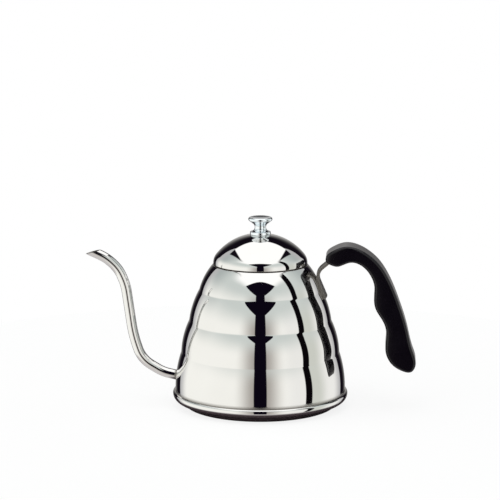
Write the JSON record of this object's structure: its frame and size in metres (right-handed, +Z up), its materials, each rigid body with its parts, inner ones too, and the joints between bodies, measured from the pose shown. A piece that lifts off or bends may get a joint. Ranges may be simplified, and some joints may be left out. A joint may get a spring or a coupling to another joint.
{
  "type": "gooseneck kettle",
  "caption": "Stove-top gooseneck kettle: polished steel body in bulged bands, thin swan-neck spout, domed lift-off lid with a turned knob and an open black side grip.",
  "frame": {"origin": "centre of the flat base, on the axis of the body, at the surface the kettle stands on", "axes": "+Z up along the axis of the body, +X towards the grip, -X towards the spout"},
  "size_m": [0.2729, 0.1448, 0.1568],
  "materials": {
    "polished_steel": "polished",
    "steel_hardware": "satin",
    "grip_phenolic": "satin"
  },
  "bodies": {
    "kettle": {"body_shell": "polished_steel", "base_pan": "polished_steel", "spout_tube": "polished_steel", "handle_bracket": "polished_steel", "grip": "grip_phenolic", "grip_screw": "steel_hardware", "grip_flat_washer": "steel_hardware", "grip_spring_washer": "steel_hardware"},
    "lid": {"lid_dome": "polished_steel", "lid_collar": "polished_steel", "lid_knob": "polished_steel", "knob_screw": "steel_hardware", "knob_flat_washer": "steel_hardware", "knob_spring_washer": "steel_hardware"}
  },
  "joints": [
    {"name": "lid_lift", "type": "slide", "parent": "kettle", "child": "lid", "axis": [0, 0, 1], "range_m": [0, 0.06]}
  ]
}
